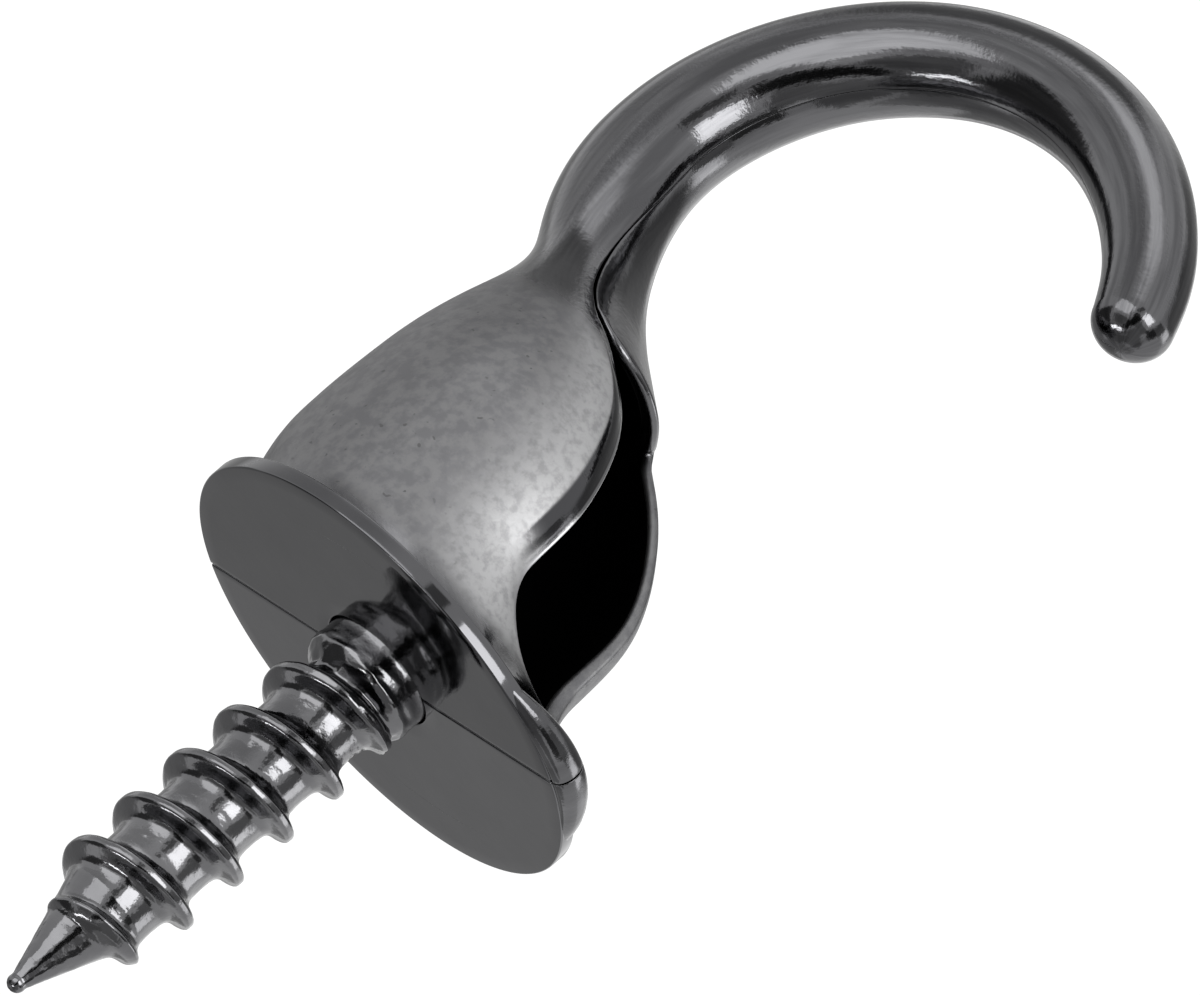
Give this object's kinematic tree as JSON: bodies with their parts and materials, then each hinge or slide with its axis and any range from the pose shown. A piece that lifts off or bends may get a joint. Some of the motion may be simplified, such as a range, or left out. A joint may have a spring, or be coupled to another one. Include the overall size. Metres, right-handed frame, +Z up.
{
  "type": "ceiling hook",
  "caption": "Small open ceiling hook of folded sheet steel: a rolled hook opens into a bell over a round mounting plate, with a captive wood screw standing out of the plate.",
  "frame": {"origin": "on the screw's axis, in the plane of the mounting plate's top face, the face that is drawn up against the ceiling", "axes": "+Z up along the screw towards its point; the hook hangs below in the XZ plane with its mouth towards +X and its closed back towards -X; +Y completes the right-handed set"},
  "size_m": [0.0225, 0.0168, 0.0491],
  "materials": {
    "plated_sheet": "dark polished black-nickel plating on sheet steel",
    "plated_screw": "bright dark-nickel plating on a rolled steel thread"
  },
  "bodies": {
    "root": {"hook_body": "plated_sheet", "wood_screw": "plated_screw"}
  },
  "joints": []
}
